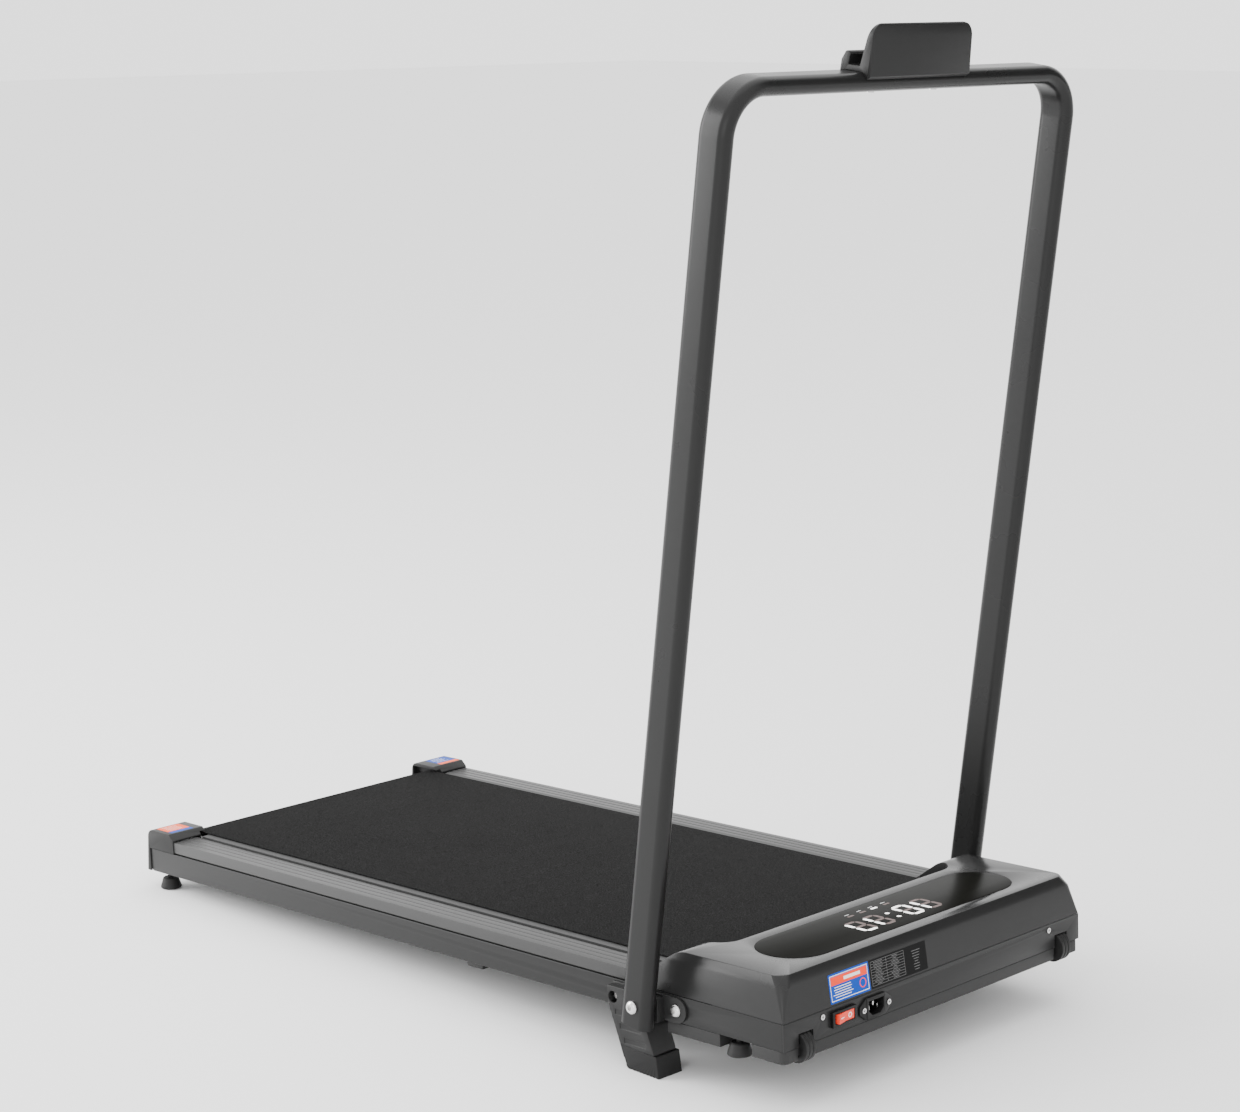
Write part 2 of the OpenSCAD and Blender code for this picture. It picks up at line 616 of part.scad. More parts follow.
module bracket_bolts() color("#c8cacc") both_sides() {
    button_bolt(half_w + plate_t, bolt_b[0], bolt_b[1], 4, 12, 7);
    button_bolt(half_w + plate_t, bolt_a[0], bolt_a[1], 4, 12, 5.8);
}

// ---------- device holder ----------
// Side outline of the holder, from the middle of the bar, in the deck's axes
holder_y = pivot_y - bar_reach * sin(bar_lean);
holder_z = pivot_z + bar_reach * cos(bar_lean);
module holder_outline() polygon(concat(
    [[-25, 3], [-31, holder_h - 2], [-29.5, holder_h], [-28, holder_h], [-26.3, holder_h - 2.5],
     [-11, 14.3], [4, 16.8], [0.5, 27]],
    arc([4.6, 26.6], 4.2, 175, 20, 6),
    [[13, 22.5], [16.2, 9], [8, 6], [-20, 0]]));
module device_holder() color("#3a3a3b") difference() {
    translate([0, holder_y, holder_z]) slab(-holder_w / 2, holder_w / 2) holder_outline();
    // rounded top corners of the back panel
    both_sides() translate([holder_w / 2 - 15, holder_y - 60, holder_z + holder_h - 15]) rotate([-90, 0, 0])
        difference() {
            translate([0, -17, 0]) cube([17, 17, 70]);
            translate([0, 0, -1]) cylinder(h = 72, r = 15);
        }
    on_bar() translate([-holder_w, 0, bar_reach]) rotate([0, 90, 0]) linear_extrude(2 * holder_w)
        oval(bar_t + 2 * fit, bar_d + 2 * fit);
    on_bar() holder_screw_hole(holder_screw_r + fit);
}
// Two screws come up through the top bar into the holder
holder_screw_r = 2;
module at_holder_screws(z) for (x = [-50, 50]) translate([x, -1, bar_reach + z]) children();
module holder_screw_hole(r) at_holder_screws(-bar_t / 2 - 1) cylinder(h = bar_t + 5.5, r = r);
module holder_screws() color("#b9bcc0") on_bar() {
    at_holder_screws(-bar_t / 2) cylinder(h = bar_t + 4, r = holder_screw_r);
    at_holder_screws(-bar_t / 2 - 2.3) cylinder(h = 2.3, r = 4);
}

placed() side_rail_left();
placed() side_rail_right();
placed() front_panel();
placed() rear_crossbar();
placed() cross_members();
placed() bottom_brace();
placed() foot_rail_left();
placed() foot_rail_right();
placed() rear_cap_left();
placed() rear_cap_right();
placed() motor_hood();
placed() display_lens();
placed() display_board();
placed() bottom_pan();
placed() deck_board();
placed() deck_cushions();
placed() running_belt();
placed() front_roller();
placed() roller_pulley();
placed() front_roller_bearings();
placed() front_axle();
placed() rear_roller();
placed() rear_roller_bearings();
placed() rear_axle();
placed() tension_bolts();
placed() axle_brackets();
placed() motor_body();
placed() motor_bracket();
placed() motor_shaft();
placed() motor_pulley();
placed() drive_belt();
placed() controller_board();
placed() controller_heatsink();
placed() power_inlet();
placed() inlet_pins();
placed() panel_screws();
placed() switch_body();
placed() switch_rocker();
placed() wheel_left();
placed() wheel_right();
placed() wheel_axles();
placed() wheel_brackets();
placed() foot_front_left();
placed() foot_front_right();
placed() foot_rear_left();
placed() foot_rear_right();
placed() foot_nuts();
placed() handlebar();
placed() handlebar_plugs();
placed() pivot_bushings();
placed() pivot_bolts();
placed() bracket_plate_left();
placed() bracket_plate_right();
placed() support_leg_left();
placed() support_leg_right();
placed() leg_boot_left();
placed() leg_boot_right();
placed() bracket_bolts();
placed() device_holder();
placed() holder_screws();
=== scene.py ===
# %% [markdown]
# # A walking-pad treadmill
# The solid parts come packed in one frame, already in their places. This lesson dresses them: it rounds
# their edges, paints them, and adds the belt, the bent handlebar, the display and the printed labels.

# %% Open the frame
import json
import math

import bmesh
import bpy
from mathutils import Matrix, Vector

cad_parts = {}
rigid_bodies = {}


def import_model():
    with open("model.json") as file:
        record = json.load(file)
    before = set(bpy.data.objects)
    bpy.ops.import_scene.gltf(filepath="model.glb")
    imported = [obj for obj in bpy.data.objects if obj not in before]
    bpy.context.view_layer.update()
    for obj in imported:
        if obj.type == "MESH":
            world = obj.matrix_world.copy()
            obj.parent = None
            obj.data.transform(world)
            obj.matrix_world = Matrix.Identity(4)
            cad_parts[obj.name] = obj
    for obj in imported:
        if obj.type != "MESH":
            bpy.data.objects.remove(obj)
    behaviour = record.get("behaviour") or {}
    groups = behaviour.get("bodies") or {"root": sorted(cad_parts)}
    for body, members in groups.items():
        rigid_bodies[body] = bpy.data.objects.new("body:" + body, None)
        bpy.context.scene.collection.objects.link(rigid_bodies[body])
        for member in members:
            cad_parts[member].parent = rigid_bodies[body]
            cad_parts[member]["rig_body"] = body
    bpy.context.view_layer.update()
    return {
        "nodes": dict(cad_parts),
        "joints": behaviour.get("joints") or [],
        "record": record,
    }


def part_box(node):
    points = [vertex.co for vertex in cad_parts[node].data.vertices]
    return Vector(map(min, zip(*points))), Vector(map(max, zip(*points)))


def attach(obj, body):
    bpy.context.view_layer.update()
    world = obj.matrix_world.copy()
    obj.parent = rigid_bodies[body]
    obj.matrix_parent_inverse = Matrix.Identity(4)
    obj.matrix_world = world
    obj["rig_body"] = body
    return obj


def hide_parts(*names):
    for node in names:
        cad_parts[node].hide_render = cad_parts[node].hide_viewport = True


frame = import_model()
MM = 0.001
NODES, RECORD = frame["nodes"], frame["record"]
SLOT_OF = {part["node"]: part["material_slot"] for part in RECORD["subparts"]}
print("parts in the frame:", len(NODES))

# %% [markdown]
# ## The deck's own axes
# The machine stands with its motor end raised on two legs, so nothing on it is level. It is easier to
# place things in the deck's own axes: X across, Y from the motor end to the rear, Z up from the underside
# of the steel frame. One matrix turns those places into the frame's, and it is read off the front panel.

# %% Deck axes
INCLINE = math.radians(2.6)
PANEL_SHEET = 2 * MM
panel_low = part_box("front_panel")[0]
deck_origin = Vector((0, panel_low.y, panel_low.z + PANEL_SHEET * math.sin(INCLINE)))
DECK = Matrix.Translation(deck_origin) @ Matrix.Rotation(-INCLINE, 4, "X")
print("deck origin (m):", [round(v, 4) for v in deck_origin])

# %% [markdown]
# ## Two effects that many finishes share
# Powder coat, moulded plastic and rubber all have a fine grain, and all of them are a little uneven over a
# hand's width. A node group holds that once: it drifts the colour and the roughness, and bends the normal
# with fine noise. A second group draws a criss-cross weave, for woven belts and grip surfaces.

# %% Shader groups
def new_group(name, inputs, outputs):
    """An empty shader group with named sockets; inputs are (name, kind, default)."""
    group = bpy.data.node_groups.new(name, "ShaderNodeTree")
    for label, kind, value in inputs:
        socket = group.interface.new_socket(label, in_out="INPUT", socket_type="NodeSocket" + kind)
        socket.default_value = value
    for label, kind in outputs:
        group.interface.new_socket(label, in_out="OUTPUT", socket_type="NodeSocket" + kind)
    return group, group.nodes.new("NodeGroupInput"), group.nodes.new("NodeGroupOutput")


def add(tree, kind, inputs=None, **settings):
    """A node with its settings, and each input either a value or another node's socket."""
    node = tree.nodes.new(kind)
    for key, value in settings.items():
        setattr(node, key, value)
    for key, value in (inputs or {}).items():
        if isinstance(value, bpy.types.NodeSocket):
            tree.links.new(value, node.inputs[key])
        else:
            node.inputs[key].default_value = value
    return node


def build_grain_group():
    group, given, out = new_group(
        "moulded_grain",
        [("Color", "Color", (0.5, 0.5, 0.5, 1)), ("Roughness", "Float", 0.5), ("Grain Size", "Float", 0.0006),
         ("Grain Depth", "Float", 0.00003), ("Drift", "Float", 0.08)],
        [("Color", "Color"), ("Roughness", "Float"), ("Normal", "Vector")])
    place = add(group, "ShaderNodeTexCoord").outputs["Object"]
    density = add(group, "ShaderNodeMath", {0: 1.0, 1: given.outputs["Grain Size"]}, operation="DIVIDE")
    fine = add(group, "ShaderNodeTexNoise", {"Vector": place, "Scale": density.outputs[0], "Detail": 3.0})
    broad = add(group, "ShaderNodeTexNoise", {"Vector": place, "Scale": 9.0, "Detail": 4.0, "Roughness": 0.6})
    centred = add(group, "ShaderNodeMath", {0: broad.outputs["Fac"], 1: 0.5}, operation="SUBTRACT")
    swing = add(group, "ShaderNodeMath", {0: centred.outputs[0], 1: given.outputs["Drift"]},
                operation="MULTIPLY")
    rough = add(group, "ShaderNodeMath", {0: swing.outputs[0], 1: 1.5, 2: given.outputs["Roughness"]},
                operation="MULTIPLY_ADD", use_clamp=True)
    value = add(group, "ShaderNodeMath", {0: swing.outputs[0], 1: 3.0, 2: 1.0}, operation="MULTIPLY_ADD")
    tint = add(group, "ShaderNodeHueSaturation", {"Color": given.outputs["Color"], "Value": value.outputs[0]})
    bump = add(group, "ShaderNodeBump", {"Height": fine.outputs["Fac"],
                                         "Distance": given.outputs["Grain Depth"]})
    group.links.new(tint.outputs["Color"], out.inputs["Color"])
    group.links.new(rough.outputs[0], out.inputs["Roughness"])
    group.links.new(bump.outputs["Normal"], out.inputs["Normal"])
    return group


def build_weave_group():
    group, given, out = new_group(
        "criss_cross_weave", [("Pitch", "Float", 0.002)], [("Height", "Float")])
    place = add(group, "ShaderNodeTexCoord").outputs["Object"]
    turns = add(group, "ShaderNodeMath", {0: 2 * math.pi, 1: given.outputs["Pitch"]}, operation="DIVIDE")
    axes = add(group, "ShaderNodeSeparateXYZ", {"Vector": place})
    waves = []
    for kind in ("ADD", "SUBTRACT"):
        slant = add(group, "ShaderNodeMath", {0: axes.outputs["X"], 1: axes.outputs["Y"]}, operation=kind)
        phase = add(group, "ShaderNodeMath", {0: slant.outputs[0], 1: turns.outputs[0]}, operation="MULTIPLY")
        waves.append(add(group, "ShaderNodeMath", {0: phase.outputs[0]}, operation="SINE").outputs[0])
    high = add(group, "ShaderNodeMath", {0: waves[0], 1: waves[1]}, operation="MAXIMUM")
    group.links.new(high.outputs[0], out.inputs["Height"])
    return group


GRAIN, WEAVE = build_grain_group(), build_weave_group()
print("shader groups:", GRAIN.name, WEAVE.name)

# %% [markdown]
# ## The finishes
# Each finish is one material with a Principled shader. What differs is colour, roughness, how metallic it
# is, and how coarse its grain is, so one function makes them all from those few numbers.

# %% Grained finishes
def finish(name, colour, roughness, metallic=0.0, grain=0.6, depth=0.03, drift=0.08, coat=0.0, sheen=0.2):
    """A finish with grain; grain and depth are in millimetres, and sheen is its mirror strength."""
    material = bpy.data.materials.new(name)
    material.use_nodes = True
    tree = material.node_tree
    shader = tree.nodes["Principled BSDF"]
    shader.inputs["Metallic"].default_value = metallic
    shader.inputs["Specular IOR Level"].default_value = sheen
    shader.inputs["Coat Weight"].default_value = coat
    shader.inputs["Coat Roughness"].default_value = 0.12
    skin = add(tree, "ShaderNodeGroup", node_tree=GRAIN)
    skin.inputs["Color"].default_value = (*colour, 1)
    skin.inputs["Roughness"].default_value = roughness
    skin.inputs["Grain Size"].default_value = grain * MM
    skin.inputs["Grain Depth"].default_value = depth * MM
    skin.inputs["Drift"].default_value = drift
    tree.links.new(skin.outputs["Color"], shader.inputs["Base Color"])
    tree.links.new(skin.outputs["Roughness"], shader.inputs["Roughness"])
    tree.links.new(skin.outputs["Normal"], shader.inputs["Normal"])
    return material


def grey(value, warmth=0.0):
    return (value * (1 + warmth), value, value * (1 - warmth))


PAINT = {
    "frame_steel": finish("anthracite_powder_coat", grey(0.017), 0.36, 0.1, 0.5, 0.02),
    "inner_steel": finish("dark_chassis_paint", grey(0.02), 0.5, 0.2, 0.7, 0.03),
    "handlebar_paint": finish("handlebar_powder_coat", grey(0.012), 0.28, 0.1, 0.45, 0.015),
    "rail_plastic": finish("foot_rail_moulding", grey(0.05), 0.38, 0.15, 0.5, 0.025),
    "hood_plastic": finish("hood_moulding", grey(0.017), 0.26, 0.1, 0.5, 0.018),
    "cap_plastic": finish("cap_moulding", grey(0.018), 0.38, 0.1, 0.5, 0.025),
    "pan_plastic": finish("pan_moulding", grey(0.02), 0.45, 0.0, 0.6, 0.03),
    "board_green": finish("solder_mask_green", (0.02, 0.12, 0.05), 0.35, 0.0, 0.8, 0.01),
    "deck_wood": finish("black_faced_fibreboard", grey(0.03), 0.5, 0.0, 1.2, 0.03),
    "black_rubber": finish("black_rubber", grey(0.012), 0.55, 0.0, 0.8, 0.05),
    "roller_steel": finish("turned_roller_steel", grey(0.5), 0.3, 1.0, 0.4, 0.01),
    "zinc_steel": finish("bright_zinc", grey(0.62, 0.01), 0.22, 1.0, 0.4, 0.008, 0.12),
    "cast_pulley": finish("cast_pulley_grey", grey(0.06), 0.45, 0.4, 0.8, 0.03),
    "motor_black": finish("motor_enamel", grey(0.02), 0.3, 0.2, 0.7, 0.02),
    "heatsink_aluminium": finish("extruded_aluminium", grey(0.55), 0.32, 1.0, 0.5, 0.01),
    "black_plastic": finish("black_fitting_plastic", grey(0.006), 0.35, 0.0, 0.6, 0.02),
    "boot_rubber": finish("boot_rubber", grey(0.007), 0.42, 0.0, 0.8, 0.04),
    "holder_plastic": finish("holder_moulding", grey(0.012), 0.4, 0.0, 0.5, 0.03),
    "wheel_rubber": finish("wheel_rubber", grey(0.012), 0.45, 0.0, 0.7, 0.03),
    "lens_plastic": finish("smoked_lens", (0.004, 0.004, 0.003), 0.3, 0.0, 3.0, 0.002, 0.02, 0.0, 0.01),
    "rocker_red": finish("red_rocker_plastic", (0.78, 0.045, 0.02), 0.25, 0.0, 0.8, 0.01, 0.05, 0.2),
}
print("grained finishes:", len(PAINT))

# %% [markdown]
# The running belt is a woven cloth with a ribbed PVC face. Close to, it is a fine criss-cross with a rough
# glitter on it. The weave group gives the height of the criss-cross, and fine noise adds the glitter, as a
# real height and as painted glints, lighter specks in the colour, because grains this small are too fine to
# show by their shape.

# %% Belt finish
def build_belt_finish():
    material = finish("ribbed_belt_face", grey(0.004), 0.75, 0.0, 0.9, 0.06, 0.05)
    tree = material.node_tree
    shader = tree.nodes["Principled BSDF"]
    shader.inputs["Specular IOR Level"].default_value = 0.03
    place = add(tree, "ShaderNodeTexCoord").outputs["Object"]
    weave = add(tree, "ShaderNodeGroup", {"Pitch": 2.4 * MM}, node_tree=WEAVE)
    ribs = add(tree, "ShaderNodeBump", {"Height": weave.outputs["Height"], "Distance": 0.12 * MM})
    grain_and_glint_specks = add(tree, "ShaderNodeTexNoise", {"Vector": place, "Scale": 700.0, "Detail": 2.0})
    # Painted glints: this noise lightens the base colour in specks, standing in for light caught by the
    # grain.
    painted_glint_tone = add(tree, "ShaderNodeMapRange", {"Value": grain_and_glint_specks.outputs["Fac"], "From Min": 0.35,
                                              "From Max": 0.75, "To Min": 0.001, "To Max": 0.02})
    rough = add(tree, "ShaderNodeBump", {"Height": grain_and_glint_specks.outputs["Fac"], "Distance": 0.15 * MM,
                                         "Normal": ribs.outputs["Normal"]})
    tree.links.new(painted_glint_tone.outputs["Result"], shader.inputs["Base Color"])
    tree.links.new(rough.outputs["Normal"], shader.inputs["Normal"])
    return material


PAINT["belt_rubber"] = build_belt_finish()
print("belt finish:", PAINT["belt_rubber"].name)

# %% [markdown]
# Printed vinyl, and the display's lit and unlit segments, are the last few finishes. A lit segment glows a
# little, so that it stays white on a black lens in any light.

# %% Prints and lights
def glowing(name, colour, strength):
    material = finish(name, colour, 0.4, 0.0, 0.8, 0.005, 0.03)
    shader = material.node_tree.nodes["Principled BSDF"]
    shader.inputs["Emission Color"].default_value = (*colour, 1)
    shader.inputs["Emission Strength"].default_value = strength
    return material


PRINT = {
    "white": finish("white_ink", grey(0.8), 0.4, 0.0, 0.8, 0.005, 0.03),
    "blue": finish("blue_vinyl", (0.008, 0.06, 0.36), 0.3, 0.0, 0.9, 0.01, 0.04, 0.0, 0.04),
    "red": finish("red_vinyl", (0.85, 0.06, 0.025), 0.32, 0.0, 0.9, 0.01, 0.04, 0.0, 0.04),
    "orange": finish("orange_vinyl", (0.86, 0.11, 0.03), 0.32, 0.0, 0.9, 0.01, 0.04, 0.0, 0.04),
    "black": finish("black_vinyl", grey(0.008), 0.3, 0.0, 0.9, 0.01, 0.04, 0.0, 0.04),
    "grey": finish("grey_ink", grey(0.13), 0.4, 0.0, 0.8, 0.005, 0.03),
    "lit": glowing("lit_segment", (1.0, 0.98, 0.95), 1.3),
    "unlit": finish("unlit_segment", (0.07, 0.036, 0.03), 0.35, 0.0, 0.8, 0.005, 0.03),
}
print("prints and lights:", len(PRINT))

# %% [markdown]
# ## Paint every solid part
# The record says which finish each part has, so a loop gives every one of them its material.

# %% Paint the parts
for node, part in NODES.items():
    part.data.materials.clear()
    part.data.materials.append(PAINT[SLOT_OF[node]])
    part.data.polygons.foreach_set("material_index", [0] * len(part.data.polygons))
print("painted:", len(NODES))

# %% [markdown]
# ## Rounded edges
# No sheet, casting or moulding has a perfectly sharp edge, and the thin light line along a rounded one is
# what makes it look real. A copy of each outer part is merged, its flat faces are joined back into one face
# each, and a Bevel modifier rounds every edge sharper than an angle. The copy then stands for the part.

# %% Round the outer parts
SHARP = math.radians(30)


def new_object(name, mesh):
    made = bpy.data.objects.new(name, mesh)
    bpy.context.scene.collection.objects.link(made)
    return made


def baked(made):
    """Turns an object's modifiers into its own plain mesh."""
    bpy.context.view_layer.update()
    evaluated = made.evaluated_get(bpy.context.evaluated_depsgraph_get())
    mesh = bpy.data.meshes.new_from_object(evaluated)
    made.modifiers.clear()
    made.data = mesh
    return made


def smooth(mesh, angle=SHARP):
    mesh.polygons.foreach_set("use_smooth", [True] * len(mesh.polygons))
    mesh.set_sharp_from_angle(angle=angle)


def stand_for(made, *nodes):
    """The piece rides and is shown in the place of these solid parts."""
    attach(made, NODES[nodes[0]]["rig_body"])
    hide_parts(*nodes)
    return made


def keep_inside(made, node):
    """Brings back any corner that the rounding pushed out of its own part's box."""
    low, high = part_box(node)
    for vertex in made.data.vertices:
        vertex.co = [min(max(vertex.co[i], low[i]), high[i]) for i in range(3)]


def rounded(node, radius, steps=3):
    """A copy of a part with its edges rounded; radius is in millimetres."""
    made = new_object(node + "_rounded", NODES[node].data.copy())
    shape = bmesh.new()
    shape.from_mesh(made.data)
    bmesh.ops.remove_doubles(shape, verts=shape.verts, dist=2e-6)
    bmesh.ops.dissolve_limit(shape, angle_limit=math.radians(0.4), verts=shape.verts, edges=shape.edges)
    shape.to_mesh(made.data)
    shape.free()
    bevel = made.modifiers.new("round", "BEVEL")
    bevel.width = radius * MM
    bevel.segments = steps
    bevel.limit_method = "ANGLE"
    bevel.angle_limit = SHARP
    bevel.use_clamp_overlap = False
    bevel.miter_outer = "MITER_ARC"
    baked(made)
    keep_inside(made, node)
    smooth(made.data)
    return stand_for(made, node)


EDGE_RADIUS = {
    "side_rail_left": 0.7, "side_rail_right": 0.7, "front_panel": 0.35, "rear_crossbar": 0.4,
    "bottom_brace": 0.5, "foot_rail_left": 0.5, "foot_rail_right": 0.5, "rear_cap_left": 0.6,
    "rear_cap_right": 0.6, "bottom_pan": 0.6, "display_lens": 0.15, "motor_hood": 0.6,
    "bracket_plate_left": 0.4, "bracket_plate_right": 0.4, "support_leg_left": 0.4,
    "support_leg_right": 0.4, "leg_boot_left": 0.5, "leg_boot_right": 0.5, "device_holder": 0.5,
    "power_inlet": 0.3, "switch_body": 0.3, "switch_rocker": 0.3, "cross_members": 0.6,
    "wheel_left": 0.4, "wheel_right": 0.4,
}
for node, radius in EDGE_RADIUS.items():
    piece = rounded(node, radius)
    print(piece.name, "faces:", len(piece.data.polygons))

# %% [markdown]
# ## Tubes and loops that follow a path
# The handlebar is one flat-oval tube bent twice, and the running belt is one flat strip joined in a loop.
# Both are a small section swept along a path with round corners, so one Geometry Nodes tree makes both:
# the path comes in as plain edges, its corners are filleted, and a rounded rectangle is swept along it.

# %% Sweep tree
def new_tree(name, inputs):
    """A geometry tree with a Geometry input and output, and named inputs (name, kind)."""
    tree = bpy.data.node_groups.new(name, "GeometryNodeTree")
    tree.interface.new_socket("Geometry", in_out="INPUT", socket_type="NodeSocketGeometry")
    for label, kind in inputs:
        tree.interface.new_socket(label, in_out="INPUT", socket_type="NodeSocket" + kind)
    tree.interface.new_socket("Geometry", in_out="OUTPUT", socket_type="NodeSocketGeometry")
    return tree, tree.nodes.new("NodeGroupInput"), tree.nodes.new("NodeGroupOutput")


def close_tree(tree, given, out, geometry):
    """Every tree ends in Realize Instances and Set Material."""
    real = add(tree, "GeometryNodeRealizeInstances", {"Geometry": geometry})
    painted = add(tree, "GeometryNodeSetMaterial", {"Geometry": real.outputs["Geometry"],
                                                    "Material": given.outputs["Material"]})
    tree.links.new(painted.outputs["Geometry"], out.inputs["Geometry"])
    return tree


def grow(name, base, tree, values):
    """Runs a tree on a base mesh with the named values, and returns the plain result."""
    made = new_object(name, base)
    modifier = made.modifiers.new(tree.name, "NODES")
    modifier.node_group = tree
    for socket in tree.interface.items_tree:
        if socket.in_out == "INPUT" and socket.name in values:
            modifier[socket.identifier] = values[socket.name]
    return baked(made)


def build_sweep_tree():
    tree, given, out = new_tree(
        "swept_section",
        [("Corner Radius", "Float"), ("Corner Steps", "Int"), ("Section Across", "Float"),
         ("Section Deep", "Float"), ("Section Radius", "Float"), ("Section Steps", "Int"),
         ("Material", "Material")])
    path = add(tree, "GeometryNodeMeshToCurve", {"Mesh": given.outputs["Geometry"]})
    level = add(tree, "GeometryNodeSetCurveNormal", {"Curve": path.outputs["Curve"]}, mode="Z_UP")
    bent = add(tree, "GeometryNodeFilletCurve", {"Curve": level.outputs["Curve"], "Limit Radius": True,
                                                 "Radius": given.outputs["Corner Radius"],
                                                 "Count": given.outputs["Corner Steps"]}, mode="POLY")
    section = add(tree, "GeometryNodeCurvePrimitiveQuadrilateral",
                  {"Width": given.outputs["Section Across"], "Height": given.outputs["Section Deep"]})
    eased = add(tree, "GeometryNodeFilletCurve", {"Curve": section.outputs["Curve"], "Limit Radius": True,
                                                  "Radius": given.outputs["Section Radius"],
                                                  "Count": given.outputs["Section Steps"]}, mode="POLY")
    swept = add(tree, "GeometryNodeCurveToMesh", {"Curve": bent.outputs["Curve"],
                                                  "Profile Curve": eased.outputs["Curve"], "Fill Caps": True})
    return close_tree(tree, given, out, swept.outputs["Mesh"])


def path_mesh(name, points, closed):
    """Plain edges through 2D points, in millimetres."""
    mesh = bpy.data.meshes.new(name)
    pairs = [(i, i + 1) for i in range(len(points) - 1)] + ([(len(points) - 1, 0)] if closed else [])
    mesh.from_pydata([(x * MM, y * MM, 0) for x, y in points], pairs, [])
    return mesh


SWEEP = build_sweep_tree()
sweep_inputs = [socket.name for socket in SWEEP.interface.items_tree if socket.in_out == "INPUT"]
print("sweep tree inputs:", sweep_inputs)

# %% [markdown]
# ## The handlebar
# A 20 x 40 mm flat-oval steel tube, bent the easy way at its two top corners. Its path is drawn flat, as
# three straight lines, and the tree rounds the corners. The result is then stood up in the part's own
# leaning plane, which turns about the pivot bolts.

# %% Handlebar
UPRIGHT_GAP, BAR_REACH, BAR_FOOT = 544.2, 973.0, -23.0
BEND_RADIUS, TUBE_ACROSS, TUBE_DEEP = 50.0, 20.0, 40.0
BAR_LEAN = math.radians(9.66)
fold = next(joint for joint in frame["joints"] if joint["name"] == "handlebar_fold")
BAR = Matrix.Translation(fold["pos_m"]) @ Matrix.Rotation(BAR_LEAN - INCLINE, 4, "X")
UPRIGHT = Matrix.Rotation(math.radians(90), 4, "X")

half_gap = UPRIGHT_GAP / 2
bar_path = path_mesh("handlebar_path", [(-half_gap, BAR_FOOT), (-half_gap, BAR_REACH),
                                        (half_gap, BAR_REACH), (half_gap, BAR_FOOT)], False)
handlebar = grow("bent_handlebar", bar_path, SWEEP, {
    "Corner Radius": BEND_RADIUS * MM, "Corner Steps": 40, "Section Across": TUBE_ACROSS * MM,
    "Section Deep": TUBE_DEEP * MM, "Section Radius": TUBE_ACROSS / 2 * MM, "Section Steps": 20,
    "Material": PAINT["handlebar_paint"]})
handlebar.data.transform(BAR @ UPRIGHT)
smooth(handlebar.data)
stand_for(handlebar, "handlebar")
handlebar_size = [round(v, 3) for v in handlebar.dimensions]
print("handlebar faces:", len(handlebar.data.polygons), "size (m):", handlebar_size)

# %% [markdown]
# ## The running belt
# A belt is a flat strip joined end to end round two rollers. The same tree sweeps a thin wide section
# round a long slot-shaped path. The rollers' places come from their joints, so the belt fits them.

# %% Running belt
BELT_WIDTH, BELT_THICK, ROLLER_GAP = 400.0, 1.8, 0.3
roller_low, roller_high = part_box("front_roller")
belt_radius = (roller_high.y - roller_low.y) / 2 / MM + ROLLER_GAP + BELT_THICK / 2
centres = [DECK.inverted() @ Vector(joint["pos_m"]) / MM for joint in frame["joints"]
           if joint["name"] in ("front_roller_spin", "rear_roller_spin")]
low_y, high_y = sorted(centre.y for centre in centres)
belt_z = centres[0].z
belt_path = path_mesh("belt_path", [(low_y - belt_radius, belt_z - belt_radius),
                                    (high_y + belt_radius, belt_z - belt_radius),
                                    (high_y + belt_radius, belt_z + belt_radius),
                                    (low_y - belt_radius, belt_z + belt_radius)], True)
belt = grow("running_belt_loop", belt_path, SWEEP, {
    "Corner Radius": (belt_radius - 0.01) * MM, "Corner Steps": 32, "Section Across": BELT_THICK * MM,
    "Section Deep": BELT_WIDTH * MM, "Section Radius": 0.6 * MM, "Section Steps": 4,
    "Material": PAINT["belt_rubber"]})
FLAT_TO_SIDE = Matrix(((0, 0, 1, 0), (1, 0, 0, 0), (0, 1, 0, 0), (0, 0, 0, 1)))
belt.data.transform(DECK @ FLAT_TO_SIDE)
smooth(belt.data)
stand_for(belt, "running_belt")
print("belt faces:", len(belt.data.polygons), "size (m):", [round(v, 3) for v in belt.dimensions])

# %% [markdown]
# ## Flat printed shapes
# Labels, stickers and display segments are all flat outlines a few hundredths of a millimetre thick. One
# helper turns a list of outlines into one thin mesh, and a matrix lays it on the surface that it belongs to.

# %% Plates
def plates(name, outlines, low, high, place, material, body="deck"):
    """Extrudes 2D outlines (millimetres, anticlockwise) from low to high and lays them with a matrix."""
    shape = bmesh.new()
    for outline in outlines:
        ring = [shape.verts.new((x * MM, y * MM, low * MM)) for x, y in outline]
        face = shape.faces.new(ring)
        risen = bmesh.ops.extrude_face_region(shape, geom=[face])["geom"]
        corners = [v for v in risen if isinstance(v, bmesh.types.BMVert)]
        bmesh.ops.translate(shape, verts=corners, vec=(0, 0, (high - low) * MM))
    bmesh.ops.recalc_face_normals(shape, faces=shape.faces)
    mesh = bpy.data.meshes.new(name)
    shape.to_mesh(mesh)
    shape.free()
    mesh.transform(place)
    mesh.materials.append(material)
    made = new_object(name, mesh)
    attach(made, body)
    return made


def round_corners(x0, y0, x1, y1, r, steps=5):
    """A rectangle with round corners, anticlockwise."""
    corners = [(x1 - r, y0 + r, -90), (x1 - r, y1 - r, 0), (x0 + r, y1 - r, 90), (x0 + r, y0 + r, 180)]
    return [(cx + r * math.cos(math.radians(start + 90 * i / steps)),
             cy + r * math.sin(math.radians(start + 90 * i / steps)))
            for cx, cy, start in corners for i in range(steps + 1)]


def frame_strips(x0, y0, x1, y1, w):
    """The four strips of a rectangular frame of width w."""
    return [[(x0, y0), (x1, y0), (x1, y0 + w), (x0, y0 + w)],
            [(x0, y1 - w), (x1, y1 - w), (x1, y1), (x0, y1)],
            [(x0, y0 + w), (x0 + w, y0 + w), (x0 + w, y1 - w), (x0, y1 - w)],
            [(x1 - w, y0 + w), (x1, y0 + w), (x1, y1 - w), (x1 - w, y1 - w)]]


